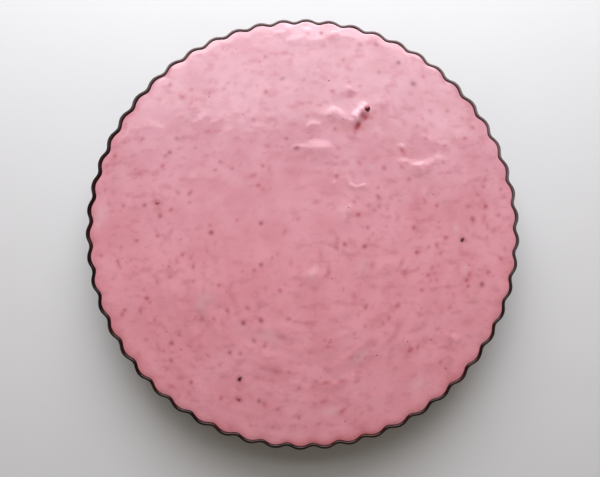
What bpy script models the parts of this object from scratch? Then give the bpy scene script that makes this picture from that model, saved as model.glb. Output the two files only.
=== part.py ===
"""A berry cream cheese tart in its own fluted tin, modelled at its real size in metres.

The tin is one pressed sheet: a base on a low foot ring, a flared wall of fifty-four flutes and a rim
rolled outwards. The set cream fills it to just under the rim. Its top swells gently, rounds down to the
wall, and carries lumps, ridges and bits of fruit. One berry lies half sunk in a lump of the cream.
The origin is on the table under the middle of the tin, with +Z up.
"""
import math
import random
from collections import namedtuple

import bmesh
import bpy
from mathutils import Matrix, Vector, noise

MM = 0.001

# Tin: its radius reaches the outer crests of the flutes
RIM_RADIUS = 140.0 * MM
TIN_HEIGHT = 30.0 * MM
WALL_FLARE = 0.31
SHEET = 0.7 * MM
BEAD_WIDTH = 2.0 * MM
BEAD_DEPTH = 2.0 * MM
FOOT_ROUND = 1.0 * MM
FOOT_RING_WIDTH = 9.0 * MM
BASE_RAISE = 0.5 * MM
RAISED_BASE_SIDES = 72

# Flutes: half of the way from valley to crest, at the rim and at the foot
FLUTE_COUNT = 54
FLUTE_SWING = 1.0 * MM
FOOT_FLUTE_SWING = 0.75 * MM
FLUTE_START = math.radians(-4.25)
CREST_BREADTH = 0.10
POINTS_PER_FLUTE = 6

# Cream: the level of its middle, how much higher it stands towards +Y, and how much lower at the wall
GAP = 0.32 * MM
CREAM_LEVEL = 29.5 * MM
CREAM_TILT = 0.30 * MM
EDGE_DROP = 0.45 * MM
EDGE_WIDTH = 7.0 * MM
SWELL_HEIGHT = 0.45 * MM
SWELL_LENGTH = 48.0 * MM
GRID_CELLS = 36

# Lumps and ridges of cream: place, length, width, height above the cream in mm, heading in degrees
Lump = namedtuple("Lump", "x y length width height heading")
BERRY_COVER = Lump(37.2, 74.4, 17.0, 8.4, 2.0, 55)
LUMPS = (
    Lump(5.9, -33.0, 17.0, 12.0, 1.0, 0),
    Lump(29.2, 8.7, 9.0, 7.0, 1.0, 40),
    Lump(75.5, 41.5, 27.0, 6.5, 0.8, 6),
    Lump(9.4, 50.5, 19.0, 8.0, 1.0, 0),
    Lump(34.5, 26.5, 13.0, 3.5, 0.5, 4),
    Lump(22.6, 72.4, 25.0, 9.0, 0.8, -14),
    Lump(84.0, 58.5, 26.0, 6.0, 0.5, -24),
    Lump(-61.5, 69.5, 22.0, 5.5, 0.5, 34),
    Lump(4.0, 121.5, 40.0, 13.0, 0.9, 2),
    Lump(5.0, 107.0, 34.0, 15.0, 0.5, 0),
    Lump(-61.5, -42.0, 20.0, 14.0, 0.6, -20),
)

# Bits of fruit that show from a step away, in mm, and the seeded ones between them
Bit = namedtuple("Bit", "x y length width heading")
LARGE_BITS = (
    Bit(-39.5, -96.9, 3.2, 3.0, 0),
    Bit(102.9, -9.4, 3.2, 3.0, 0),
    Bit(73.1, 94.5, 4.0, 2.6, 10),
    Bit(-58.9, -4.7, 3.2, 2.4, 80),
    Bit(39.7, -14.3, 3.0, 2.4, 0),
    Bit(-37.6, -62.8, 4.4, 3.0, 30),
    Bit(67.4, -79.5, 6.0, 2.6, 20),
    Bit(-122.2, 44.9, 4.2, 3.0, 60),
    Bit(-86.1, 47.3, 4.0, 2.8, 0),
    Bit(110.4, 65.0, 5.0, 3.0, 50),
    Bit(-76.5, 83.0, 5.5, 2.4, 15),
    Bit(82.0, -27.0, 4.6, 2.8, 0),
    Bit(18.5, -99.5, 8.0, 2.2, 0),
    Bit(102.0, -75.5, 3.6, 2.6, 0),
)
SMALL_BIT_COUNT = 18
SMALL_BIT_LENGTH = (2.4 * MM, 3.6 * MM)
BIT_SPREAD = 122.0 * MM
BIT_CLEARANCE = 7.0 * MM
BIT_SEED = 11

# Berry: a long cluster of drupelets on its side, in a lump of cream
BERRY_MIDDLE = (38.4 * MM, 71.6 * MM, 26.4 * MM)
BERRY_HEADING = math.radians(57.0)
BERRY_TILT = math.radians(14.0)
BERRY_LENGTH = 17.0 * MM
BERRY_WIDTH = 6.8 * MM
TIP_MIDDLE = (42.2 * MM, 77.5 * MM, 29.1 * MM)
TIP_RADIUS = 2.35 * MM
DRUPELET_RADIUS = 1.9 * MM
DRUPELET_ROWS = 5
DRUPELET_LEANS = (-54.0, 6.0)
DRUPELET_STAGGER = 24.0
SEAT_ROOM = 1.4 * MM


def clear_scene():
    """Removes every object that the scene starts with."""
    for item in list(bpy.data.objects):
        bpy.data.objects.remove(item, do_unlink=True)


def principled(name, colour, roughness, metallic):
    """A plain material of one colour."""
    material = bpy.data.materials.new(name)
    material.use_nodes = True
    shader = material.node_tree.nodes["Principled BSDF"]
    shader.inputs["Base Color"].default_value = (*colour, 1.0)
    shader.inputs["Roughness"].default_value = roughness
    shader.inputs["Metallic"].default_value = metallic
    material.diffuse_color = (*colour, 1.0)
    return material


def add_object(name, bm, material=None):
    """Turns a bmesh into a named object in the scene."""
    mesh = bpy.data.meshes.new(name)
    bm.to_mesh(mesh)
    bm.free()
    item = bpy.data.objects.new(name, mesh)
    bpy.context.collection.objects.link(item)
    if material:
        mesh.materials.append(material)
    return item


def hide_tool(item):
    """Marks a cutter as one that is not part of the tart."""
    item.hide_render = True
    item.display_type = 'WIRE'


def shade(item, angle):
    """Shades an object smooth, with edges sharper than the angle left crisp."""
    item.data.shade_smooth()
    item.data.set_sharp_from_angle(angle=math.radians(angle))


def apply_boolean(item, operation, tool=None, collection=None):
    """Joins an object with, or cuts it by, one object or all objects of a collection."""
    modifier = item.modifiers.new(operation.title(), 'BOOLEAN')
    modifier.operation = operation
    modifier.solver = 'EXACT'
    if collection:
        modifier.operand_type = 'COLLECTION'
        modifier.collection = collection
    else:
        modifier.object = tool
    with bpy.context.temp_override(object=item, active_object=item, selected_objects=[item]):
        bpy.ops.object.modifier_apply(modifier=modifier.name)


def remove_collection(collection):
    """Removes a collection with its objects."""
    for item in list(collection.objects):
        bpy.data.objects.remove(item, do_unlink=True)
    bpy.data.collections.remove(collection)


def flute(angle):
    """The flutes' wave at an angle round the tin: 1 on a crest, -1 in a valley, crests the broader."""
    turn = FLUTE_COUNT * (angle - FLUTE_START)
    return math.cos(turn) + CREST_BREADTH * (1.0 - math.cos(2.0 * turn))


def wall_inside(height):
    """The mean inner radius of the tin's wall at a height."""
    return RIM_RADIUS - FLUTE_SWING - BEAD_WIDTH - WALL_FLARE * (TIN_HEIGHT - height)


def swing_at(height):
    """The flutes' swing at a height on the wall."""
    return FOOT_FLUTE_SWING + (FLUTE_SWING - FOOT_FLUTE_SWING) * height / TIN_HEIGHT


def place_on_ring(verts, radius, height):
    """Moves points out to the fluted ring of that mean radius and height, each at its own angle."""
    for vert in verts:
        angle = math.atan2(vert.co.y, vert.co.x)
        reach = radius + swing_at(height) * flute(angle)
        vert.co = Vector((reach * math.cos(angle), reach * math.sin(angle), height))


def fluted_body(rings):
    """A closed fluted body: the first ring is capped, drawn out from ring to ring, and capped again."""
    bm = bmesh.new()
    points = FLUTE_COUNT * POINTS_PER_FLUTE
    turn = Matrix.Rotation(FLUTE_START, 4, 'Z')
    bmesh.ops.create_circle(bm, cap_ends=True, segments=points, radius=1.0, matrix=turn)
    place_on_ring(bm.verts, *rings[0])
    for ring in rings[1:]:
        border = [edge for edge in bm.edges if edge.is_boundary]
        drawn = bmesh.ops.extrude_edge_only(bm, edges=border)["geom"]
        place_on_ring([part for part in drawn if isinstance(part, bmesh.types.BMVert)], *ring)
    bmesh.ops.triangulate(bm, faces=[face for face in bm.faces if len(face.verts) == 4])
    border = [edge for edge in bm.edges if edge.is_boundary]
    bmesh.ops.contextual_create(bm, geom=border)
    bmesh.ops.recalc_face_normals(bm, faces=bm.faces)
    return bm


def make_tin(material):
    """The tin: outside from the foot up, over the rolled rim, and down the inside to the base."""
    outer_wall = SHEET * math.hypot(1.0, WALL_FLARE)
    under_bead = TIN_HEIGHT - BEAD_DEPTH
    lip = TIN_HEIGHT - 0.25 * BEAD_DEPTH
    bead_outside = RIM_RADIUS - FLUTE_SWING
    floor_top = BASE_RAISE + SHEET
    rings = (
        (wall_inside(FOOT_ROUND) + outer_wall - FOOT_ROUND, 0.0),
        (wall_inside(FOOT_ROUND) + outer_wall, FOOT_ROUND),
        (wall_inside(under_bead) + outer_wall, under_bead),
        (bead_outside, under_bead + 0.2 * BEAD_DEPTH),
        (bead_outside, lip),
        (bead_outside - 0.5 * BEAD_WIDTH, TIN_HEIGHT),
        (wall_inside(lip), lip),
        (wall_inside(floor_top), floor_top),
    )
    tin = add_object("tart_tin", fluted_body(rings), material)

    bm = bmesh.new()
    raised_radius = rings[0][0] - FOOT_RING_WIDTH
    depth = 2.0 * BASE_RAISE
    bmesh.ops.create_cone(bm, cap_ends=True, segments=RAISED_BASE_SIDES, radius1=raised_radius,
                          radius2=raised_radius - BASE_RAISE, depth=depth)
    raise_tool = add_object("base_raise_cutter", bm)
    hide_tool(raise_tool)
    apply_boolean(tin, 'DIFFERENCE', tool=raise_tool)
    bpy.data.objects.remove(raise_tool, do_unlink=True)
    shade(tin, 50)
    return tin


def cream_height(x, y):
    """The height of the cream's top at a place: nearly level, swelling, and rounded down to the wall."""
    edge = wall_inside(CREAM_LEVEL)
    fluted_edge = edge + swing_at(CREAM_LEVEL) * flute(math.atan2(y, x))
    rounding = max(1.0 - (fluted_edge - math.hypot(x, y)) / EDGE_WIDTH, 0.0) ** 2
    drop = EDGE_DROP * min(rounding, 1.0)
    swell = SWELL_HEIGHT * noise.noise(Vector((x, y, 0.0)) / SWELL_LENGTH)
    return CREAM_LEVEL + CREAM_TILT * y / edge + swell - drop


def direction(heading, tilt=0.0):
    """The direction at a heading round the upright axis, tilted up from level."""
    level = math.cos(tilt)
    return Vector((level * math.cos(heading), level * math.sin(heading), math.sin(tilt)))


def blob(name, middle, size, along, collection, rounds=2):
    """An egg-shaped body of a given length, width and height, its length lying along a direction."""
    bm = bmesh.new()
    bmesh.ops.create_icosphere(bm, subdivisions=rounds, radius=0.5)
    bmesh.ops.scale(bm, verts=bm.verts, vec=Vector(size))
    turn = Vector((1.0, 0.0, 0.0)).rotation_difference(along).to_matrix()
    bmesh.ops.rotate(bm, verts=bm.verts, cent=(0, 0, 0), matrix=turn)
    bmesh.ops.translate(bm, verts=bm.verts, vec=Vector(middle))
    item = add_object(name, bm)
    bpy.context.collection.objects.unlink(item)
    collection.objects.link(item)
    return item


def make_cream_block():
    """A block with the cream's uneven top, wider than the tin."""
    bm = bmesh.new()
    bmesh.ops.create_grid(bm, x_segments=GRID_CELLS, y_segments=GRID_CELLS, size=RIM_RADIUS)
    for vert in bm.verts:
        vert.co.z = cream_height(vert.co.x, vert.co.y)
    lowered = bmesh.ops.extrude_face_region(bm, geom=bm.faces[:])["geom"]
    for part in lowered:
        if isinstance(part, bmesh.types.BMVert):
            part.co.z = -TIN_HEIGHT
    bmesh.ops.triangulate(bm, faces=bm.faces)
    bmesh.ops.recalc_face_normals(bm, faces=bm.faces)
    return bm


def make_cream_mould():
    """The room that the tin leaves for the cream, carried on upwards past the rim."""
    floor = BASE_RAISE + SHEET + GAP
    rings = (
        (wall_inside(floor) - GAP, floor),
        (wall_inside(TIN_HEIGHT) - GAP, TIN_HEIGHT),
        (wall_inside(TIN_HEIGHT) - GAP, 1.5 * TIN_HEIGHT),
    )
    return fluted_body(rings)


def add_lumps(collection):
    """The lumps and ridges that stand on the cream."""
    for lump in (BERRY_COVER, *LUMPS):
        x, y = lump.x * MM, lump.y * MM
        size = (lump.length * MM, lump.width * MM, 2.0 * lump.height * MM)
        blob("lump", (x, y, cream_height(x, y)), size, direction(math.radians(lump.heading)), collection)


def add_bits(collection):
    """The bits of fruit on the cream, the large ones in their places and small ones between them."""
    places = []
    for bit in LARGE_BITS:
        places.append((bit.x * MM, bit.y * MM, bit.length * MM, bit.width * MM, math.radians(bit.heading)))
    taken = [(lump.x * MM, lump.y * MM, 0.6 * lump.length * MM) for lump in (BERRY_COVER, *LUMPS)]
    draw = random.Random(BIT_SEED)
    goal = len(places) + SMALL_BIT_COUNT
    while len(places) < goal:
        angle = draw.uniform(0.0, 2.0 * math.pi)
        reach = BIT_SPREAD * math.sqrt(draw.random())
        x, y = reach * math.cos(angle), reach * math.sin(angle)
        length = draw.uniform(*SMALL_BIT_LENGTH)
        heading = draw.uniform(0.0, math.pi)
        on_lump = any(math.hypot(x - lx, y - ly) < reach_out for lx, ly, reach_out in taken)
        near_bit = any(math.hypot(x - place[0], y - place[1]) < BIT_CLEARANCE for place in places)
        if not on_lump and not near_bit:
            places.append((x, y, length, 0.75 * length, heading))
    for x, y, length, width, heading in places:
        middle = (x, y, cream_height(x, y))
        blob("bit", middle, (length, width, 0.5 * width), direction(heading), collection, rounds=1)


def berry_parts():
    """The berry's parts: a long core, rows of drupelets along its top and its open side, and its tip."""
    parts = bpy.data.collections.new("berry_parts")
    bpy.context.scene.collection.children.link(parts)
    along = direction(BERRY_HEADING, BERRY_TILT)
    across = direction(BERRY_HEADING + 0.5 * math.pi)
    upwards = along.cross(across)
    middle = Vector(BERRY_MIDDLE)
    thickness = BERRY_WIDTH - DRUPELET_RADIUS
    blob("core", middle, (BERRY_LENGTH - DRUPELET_RADIUS, thickness, thickness), along, parts)
    ring_radius = 0.5 * BERRY_WIDTH - DRUPELET_RADIUS
    span = BERRY_LENGTH - 2.6 * DRUPELET_RADIUS
    size = (2.0 * DRUPELET_RADIUS,) * 3
    for row in range(DRUPELET_ROWS):
        place = row / DRUPELET_ROWS - 0.5
        taper = 1.0 - 1.4 * place * place
        for lean in DRUPELET_LEANS:
            angle = math.radians(lean + DRUPELET_STAGGER * (row % 2))
            outwards = across * math.sin(angle) + upwards * math.cos(angle)
            seat = middle + along * span * place + outwards * ring_radius * taper
            blob("drupelet", seat, size, direction(BERRY_HEADING + row), parts)
    blob("tip", TIP_MIDDLE, (2.0 * TIP_RADIUS,) * 3, along, parts)
    return parts


def fuse(name, parts, material=None):
    """One closed body out of all the objects of a collection."""
    first = parts.objects[0]
    parts.objects.unlink(first)
    bpy.context.collection.objects.link(first)
    apply_boolean(first, 'UNION', collection=parts)
    remove_collection(parts)
    first.name = name
    first.data.name = name
    if material:
        first.data.materials.clear()
        first.data.materials.append(material)
    return first


def drop_scraps(item):
    """Keeps the largest connected body of a mesh and deletes the loose scraps beside it."""
    bm = bmesh.new()
    bm.from_mesh(item.data)
    waiting = set(bm.verts)
    bodies = []
    while waiting:
        reached = [waiting.pop()]
        body = list(reached)
        while reached:
            for edge in reached.pop().link_edges:
                for vert in edge.verts:
                    if vert in waiting:
                        waiting.remove(vert)
                        reached.append(vert)
                        body.append(vert)
        bodies.append(body)
    bodies.sort(key=len)
    for body in bodies[:-1]:
        bmesh.ops.delete(bm, geom=body, context='VERTS')
    bm.to_mesh(item.data)
    bm.free()


def make_cream(material):
    """The cream: the block cut to the room in the tin, with lumps and bits fused on and a berry's seat."""
    cream = add_object("berry_cream", make_cream_block(), material)
    mould = add_object("cream_mould", make_cream_mould())
    hide_tool(mould)
    apply_boolean(cream, 'INTERSECT', tool=mould)
    bpy.data.objects.remove(mould, do_unlink=True)

    toppings = bpy.data.collections.new("toppings")
    bpy.context.scene.collection.children.link(toppings)
    add_lumps(toppings)
    add_bits(toppings)
    apply_boolean(cream, 'UNION', collection=toppings)
    remove_collection(toppings)

    seats = bpy.data.collections.new("seats")
    bpy.context.scene.collection.children.link(seats)
    seat_width = BERRY_WIDTH + SEAT_ROOM
    seat_size = (BERRY_LENGTH + SEAT_ROOM, seat_width, seat_width)
    along = direction(BERRY_HEADING, BERRY_TILT)
    tip_size = (2.0 * TIP_RADIUS + SEAT_ROOM,) * 3
    hide_tool(blob("berry_seat", BERRY_MIDDLE, seat_size, along, seats, rounds=3))
    hide_tool(blob("tip_seat", TIP_MIDDLE, tip_size, along, seats, rounds=2))
    apply_boolean(cream, 'DIFFERENCE', collection=seats)
    remove_collection(seats)
    drop_scraps(cream)
    shade(cream, 40)
    return cream


def main():
    """Builds the tart."""
    clear_scene()
    make_tin(principled("dark_nonstick_steel", (0.030, 0.022, 0.020), 0.38, 0.70))
    make_cream(principled("pink_berry_cream", (0.70, 0.31, 0.37), 0.32, 0.0))
    berry = fuse("sunk_berry", berry_parts(), principled("dark_berry_skin", (0.075, 0.008, 0.022), 0.25, 0.0))
    shade(berry, 60)


main()
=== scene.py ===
"""The looks of a berry cream cheese tart that stands in its own dark fluted tin.

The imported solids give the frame. The tin, the cream and the sunk berry are each rebuilt finely in the
place of their solid, and the bits of fruit in the cream become pieces of their own.
"""
import logging
import math
import random
from dataclasses import dataclass
from enum import Enum
from typing import Callable, Iterable, NamedTuple, Sequence

import bmesh
import bpy
from mathutils import Matrix, Vector, noise


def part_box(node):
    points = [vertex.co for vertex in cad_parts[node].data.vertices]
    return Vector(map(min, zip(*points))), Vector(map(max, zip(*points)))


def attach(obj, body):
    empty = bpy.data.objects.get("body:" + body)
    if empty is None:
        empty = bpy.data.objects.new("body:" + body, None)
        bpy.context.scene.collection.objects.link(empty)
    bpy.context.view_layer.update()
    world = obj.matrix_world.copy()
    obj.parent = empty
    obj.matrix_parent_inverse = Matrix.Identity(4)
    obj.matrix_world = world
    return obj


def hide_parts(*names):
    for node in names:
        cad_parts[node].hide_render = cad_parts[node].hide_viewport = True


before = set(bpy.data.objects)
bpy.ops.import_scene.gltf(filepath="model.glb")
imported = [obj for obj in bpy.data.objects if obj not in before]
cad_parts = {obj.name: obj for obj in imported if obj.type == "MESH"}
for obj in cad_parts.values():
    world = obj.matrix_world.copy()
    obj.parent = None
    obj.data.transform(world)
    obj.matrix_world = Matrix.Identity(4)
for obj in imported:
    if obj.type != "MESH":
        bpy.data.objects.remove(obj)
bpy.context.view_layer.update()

MM = 0.001
BODY = "root"
LOG = logging.getLogger("tart")

Pair = tuple[float, float]
Triple = tuple[float, float, float]
Colour = Triple
Socket = bpy.types.NodeSocket

EVEN: Triple = (1.0, 1.0, 1.0)


class FruitKind(Enum):
    """The kinds of fruit in the cream, by the look of their bits."""

    DARK = "dark"
    RED = "red"
    AMBER = "amber"


class Tint(Enum):
    """The colours laid on the cream, each carried by its points under this name: juice and ink are stains
    of fruit, and the other two are painted light and painted shade.
    """

    # Painted light: lighter patches standing in for highlights and sheen.
    PAINTED_LIGHT = "pale"
    # Painted shade: duller patches standing in for shade and missing sheen.
    PAINTED_SHADE = "painted_shade"
    JUICE = "juice"
    INK = "ink"


class Ridge(NamedTuple):
    """A ridge or lump of cream, laid out by the pixels of the photograph where its crest starts and ends.

    Its half width and its height are in mm, and lee says how many times wider its near side is.
    """

    u0: float
    v0: float
    u1: float
    v1: float
    width: float
    height: float
    lee: float = 1.8


class Mark(NamedTuple):
    """Something in the cream where the photograph shows it: its pixel, its size in pixels, its stretch."""

    u: float
    v: float
    size: float
    stretch: float = 1.0


class Blot(NamedTuple):
    """One colour on the cream over the sunk berry: the berry showing through for juice and ink, painted
    light and painted shade for the other two. Its fields: the colour, its strength, the marks.
    """

    tint: Tint
    strength: float
    marks: tuple[Mark, ...]


RIDGES = (
    Ridge(363.6, 107.2, 354.8, 120.2, 3.0, 1.7, 1.25),
    Ridge(358.5, 119.5, 356.5, 122.0, 2.4, 0.4, 1.4),
    Ridge(326.0, 113.0, 349.0, 119.0, 4.6, 0.6, 1.2),
    Ridge(331.0, 111.0, 336.0, 111.5, 2.2, 0.5),
    Ridge(330.0, 92.0, 344.0, 86.0, 3.0, 0.2),
    Ridge(309.5, 148.3, 326.0, 148.8, 4.0, 0.8),
    Ridge(291.0, 147.5, 304.0, 147.0, 1.3, 0.20),
    Ridge(308.0, 128.0, 312.0, 123.5, 1.2, 0.25),
    Ridge(312.0, 123.5, 319.0, 124.0, 1.2, 0.25),
    Ridge(347.0, 177.0, 348.5, 183.5, 1.2, 0.22),
    Ridge(348.5, 184.5, 357.0, 187.5, 1.2, 0.30),
    Ridge(357.0, 187.5, 366.0, 185.5, 1.2, 0.25),
    Ridge(333.0, 182.0, 335.0, 188.0, 1.8, 0.40),
    Ridge(345.0, 210.0, 350.0, 211.0, 4.4, 0.62),
    Ridge(307.0, 275.0, 319.0, 276.0, 5.0, 0.60),
    Ridge(311.0, 275.0, 315.0, 275.5, 2.6, 0.30),
    Ridge(400.0, 162.5, 419.0, 165.5, 2.0, 0.40, 3.0),
    Ridge(417.0, 166.4, 424.0, 165.8, 2.4, 0.70, 3.0),
    Ridge(424.0, 165.4, 439.0, 159.0, 2.0, 0.36, 3.0),
    Ridge(424.0, 137.0, 443.0, 145.5, 2.0, 0.14),
    Ridge(450.0, 138.5, 456.0, 137.5, 3.0, 0.10),
    Ridge(401.0, 146.0, 402.5, 146.0, 1.2, 0.30),
    Ridge(198.0, 121.6, 208.0, 114.0, 2.1, 0.21),
    Ridge(212.0, 122.6, 219.5, 119.0, 1.9, 0.25),
    Ridge(224.0, 132.6, 232.0, 127.6, 1.8, 0.12),
    Ridge(256.0, 126.4, 261.0, 126.2, 1.8, 0.14),
    Ridge(142.0, 129.0, 149.0, 124.5, 2.2, 0.14),
    Ridge(152.0, 124.5, 161.0, 130.0, 2.2, 0.14),
    Ridge(286.0, 43.0, 330.0, 41.0, 8.0, 0.66, 1.8),
    Ridge(290.0, 66.0, 326.0, 65.0, 8.0, 0.50, 2.4),
    Ridge(380.0, 101.0, 391.0, 101.0, 2.6, 0.22, 3.0),
    Ridge(277.0, 34.0, 292.0, 28.5, 2.4, 0.50),
    Ridge(288.0, 41.5, 303.0, 38.0, 2.7, 0.44),
    Ridge(301.0, 31.0, 312.0, 30.5, 2.2, 0.48),
    Ridge(314.0, 41.5, 326.0, 39.0, 2.7, 0.42),
    Ridge(329.0, 34.5, 341.0, 35.0, 2.4, 0.52),
    Ridge(250.0, 51.5, 268.0, 49.0, 2.8, 0.08),
    Ridge(346.5, 90.0, 352.0, 90.0, 2.2, 0.45),
    Ridge(444.0, 336.5, 460.0, 339.0, 1.8, 0.35),
    Ridge(150.0, 200.0, 159.0, 198.5, 1.3, 0.22),
    Ridge(286.0, 383.0, 302.0, 384.5, 1.4, 0.22),
    Ridge(196.0, 288.0, 212.0, 294.0, 6.0, 0.45),
    Ridge(402.0, 341.0, 420.0, 337.0, 2.2, 0.22),
    Ridge(376.0, 270.0, 396.0, 262.0, 3.0, 0.20),
    Ridge(160.0, 60.0, 175.0, 72.0, 3.0, 0.25),
)

BERRY_BLOTS = (
    # Painted light: pale sheen and highlight on the cream over the berry's flank and above its tip.
    Blot(Tint.PAINTED_LIGHT, 0.75, (
        Mark(354.8, 117.0, 5.0, 1.8), Mark(364.4, 102.6, 4.0, 1.2), Mark(356.8, 119.6, 3.6),
    )),
    # Painted shade: the duller shade of the lump to the right of the tip.
    Blot(Tint.PAINTED_SHADE, 0.65, (Mark(370.8, 113.0, 8.0, 1.4),)),
    Blot(Tint.JUICE, 0.85, (
        Mark(365.8, 117.4, 5.6, 1.3), Mark(356.4, 127.6, 6.0, 1.2), Mark(358.8, 124.8, 4.2, 1.3),
    )),
    Blot(Tint.INK, 0.7, (Mark(362.6, 115.2, 5.0, 1.2), Mark(358.0, 124.8, 3.4, 1.2))),
)

# Painted light: lighter patches of cream that stand in for highlights and sheen on low lumps.
PAINTED_LIGHT_PATCHES = (
    Mark(312.5, 272.0, 14.0, 1.3), Mark(204.0, 298.0, 15.0, 1.4), Mark(100.0, 215.0, 11.0, 2.4),
    Mark(308.0, 120.0, 10.0, 1.6), Mark(342.0, 210.0, 8.0, 1.2), Mark(362.0, 268.0, 15.0, 1.5),
    Mark(269.0, 333.0, 11.0, 1.8), Mark(425.0, 192.0, 8.0, 1.6), Mark(373.0, 167.0, 7.0, 1.5),
    Mark(418.0, 384.0, 9.0, 2.0), Mark(297.0, 117.0, 10.0, 1.5), Mark(181.0, 118.0, 8.0, 1.3),
    Mark(332.0, 411.0, 9.0, 2.2), Mark(193.0, 175.0, 8.0, 1.3), Mark(456.0, 228.0, 8.0, 1.3),
    Mark(427.0, 125.0, 8.0, 1.3), Mark(465.0, 269.0, 9.0, 1.3), Mark(360.0, 356.0, 11.0, 1.8),
    Mark(423.0, 170.0, 7.0, 1.6), Mark(328.0, 115.0, 8.0, 1.5), Mark(201.0, 307.0, 9.0, 1.4),
    Mark(378.0, 207.0, 8.0, 1.3),
)

# Painted shade: duller, darker patches that stand in for the shade beside lumps and for places where the
# sheen is missing.
PAINTED_SHADE_PATCHES = (
    Mark(448.0, 206.0, 11.0, 1.4), Mark(201.0, 315.0, 6.0, 2.6), Mark(474.0, 300.0, 7.0, 1.4),
    Mark(358.0, 216.0, 8.0, 1.4), Mark(467.0, 124.0, 9.0, 1.6), Mark(157.0, 208.0, 11.0, 1.4),
    Mark(348.0, 126.0, 9.0, 1.3), Mark(337.0, 130.0, 8.0, 1.3), Mark(363.0, 129.0, 7.0, 1.3),
    Mark(391.0, 141.0, 10.0, 1.5), Mark(115.0, 155.0, 8.0, 1.3), Mark(415.0, 84.0, 8.0, 1.4),
    Mark(343.0, 62.0, 9.0, 1.6), Mark(376.0, 72.0, 9.0, 1.5), Mark(236.0, 119.0, 9.0, 1.5),
    Mark(211.0, 284.0, 7.0, 1.3), Mark(446.0, 106.0, 9.0, 1.5), Mark(448.0, 136.0, 9.0, 1.6),
    Mark(259.0, 120.0, 9.0, 1.6), Mark(172.0, 98.0, 9.0, 1.5), Mark(479.0, 288.0, 7.0, 1.3),
    Mark(351.0, 60.0, 7.0, 1.4), Mark(236.0, 77.0, 9.0, 1.4), Mark(344.0, 47.0, 8.0, 1.4),
    Mark(347.0, 130.0, 7.0, 1.3), Mark(369.0, 125.0, 8.0, 1.3), Mark(224.0, 68.0, 9.0, 1.4),
    Mark(451.0, 133.0, 8.0, 1.4), Mark(226.0, 105.0, 8.0, 1.5),
)

DARK_MARKS = (
    Mark(239.7, 378.7, 4.6), Mark(462.5, 239.7, 4.5), Mark(413.0, 84.0, 4.2, 1.4),
    Mark(169.8, 152.5, 3.7), Mark(165.5, 156.0, 3.0), Mark(211.2, 232.5, 4.2), Mark(364.7, 246.5, 4.1),
    Mark(345.0, 244.6, 3.4, 1.5), Mark(243.3, 323.0, 4.2), Mark(261.0, 320.5, 4.0, 1.4),
    Mark(261.0, 264.8, 3.7), Mark(261.0, 223.2, 3.7), Mark(144.6, 205.2, 3.6), Mark(398.2, 63.0, 4.0),
    Mark(282.5, 78.8, 3.2, 2.0), Mark(296.7, 147.9, 3.9, 1.3), Mark(232.3, 168.4, 2.8),
    Mark(220.4, 161.6, 2.8), Mark(195.5, 148.0, 2.5), Mark(193.2, 267.0, 3.0, 1.6),
    Mark(360.0, 45.0, 3.2, 1.6), Mark(376.0, 45.0, 3.2, 1.6), Mark(265.4, 56.8, 3.0),
    Mark(379.1, 72.3, 3.0), Mark(378.0, 187.7, 2.6), Mark(378.4, 196.8, 3.2, 1.6),
    Mark(367.8, 227.5, 3.2), Mark(373.0, 233.8, 2.2, 1.4), Mark(472.3, 219.0, 3.4, 1.7),
    Mark(264.6, 346.0, 3.0, 1.3), Mark(254.0, 341.0, 3.0, 1.6), Mark(354.4, 334.0, 2.4, 1.4),
    Mark(358.2, 356.8, 2.3), Mark(171.5, 343.2, 3.4), Mark(176.7, 138.3, 3.0), Mark(143.0, 138.8, 2.8),
    Mark(286.7, 138.6, 2.8), Mark(343.3, 60.0, 3.0), Mark(443.3, 162.4, 2.3, 1.5),
    Mark(368.0, 205.0, 2.4), Mark(482.0, 284.4, 4.0, 1.3), Mark(468.0, 286.0, 3.2),
    Mark(259.0, 401.0, 3.5), Mark(336.8, 247.8, 2.6, 2.0), Mark(303.6, 80.3, 2.6),
    Mark(230.0, 352.5, 3.4), Mark(429.0, 247.0, 2.6), Mark(317.5, 424.5, 2.2), Mark(440.8, 253.2, 3.0),
    Mark(321.3, 33.7, 4.2),
)

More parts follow.
